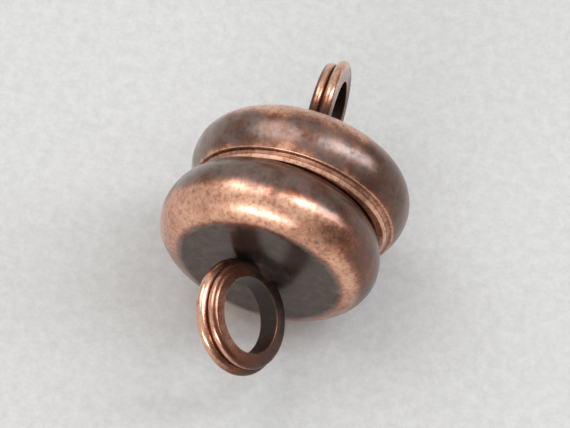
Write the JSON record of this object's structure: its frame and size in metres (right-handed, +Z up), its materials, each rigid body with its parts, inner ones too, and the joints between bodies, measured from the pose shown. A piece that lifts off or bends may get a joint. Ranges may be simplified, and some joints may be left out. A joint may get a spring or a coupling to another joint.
{
  "type": "round magnetic jewellery clasp with thread loops",
  "caption": "Round magnetic clasp in antique copper: two domed cast halves, each with a thread loop and a flush disc magnet, meet at a V-grooved seam.",
  "frame": {"origin": "on the surface that the clasp lies on, under the middle of its box", "axes": "+Z up; +Y along the clasp's length, from the front half's loop to the back half's loop; +X to the right, seen from the front half's end"},
  "size_m": [0.0116, 0.0178, 0.011],
  "materials": {
    "antique_copper": "copper-plated zinc casting, antiqued: satin copper on the shoulders and edges, dark brown patina on the crown and the flat faces",
    "nickel_plate": "bright nickel plate on a neodymium disc"
  },
  "bodies": {
    "front": {"front_half": "antique_copper", "front_magnet": "nickel_plate"},
    "carrier": {"back_magnet": "nickel_plate"},
    "back": {"back_half": "antique_copper"}
  },
  "joints": [
    {"name": "pull_apart", "type": "slide", "parent": "front", "child": "carrier", "axis": [0, 1, 0], "range_m": [0, 0.01], "stiffness_N_per_m": 2, "springref_m": -0.05},
    {"name": "spin", "type": "hinge", "parent": "carrier", "child": "back", "pos_m": [0.00025, 0, 0.0055], "axis": [0, 1, 0], "continuous": true}
  ]
}
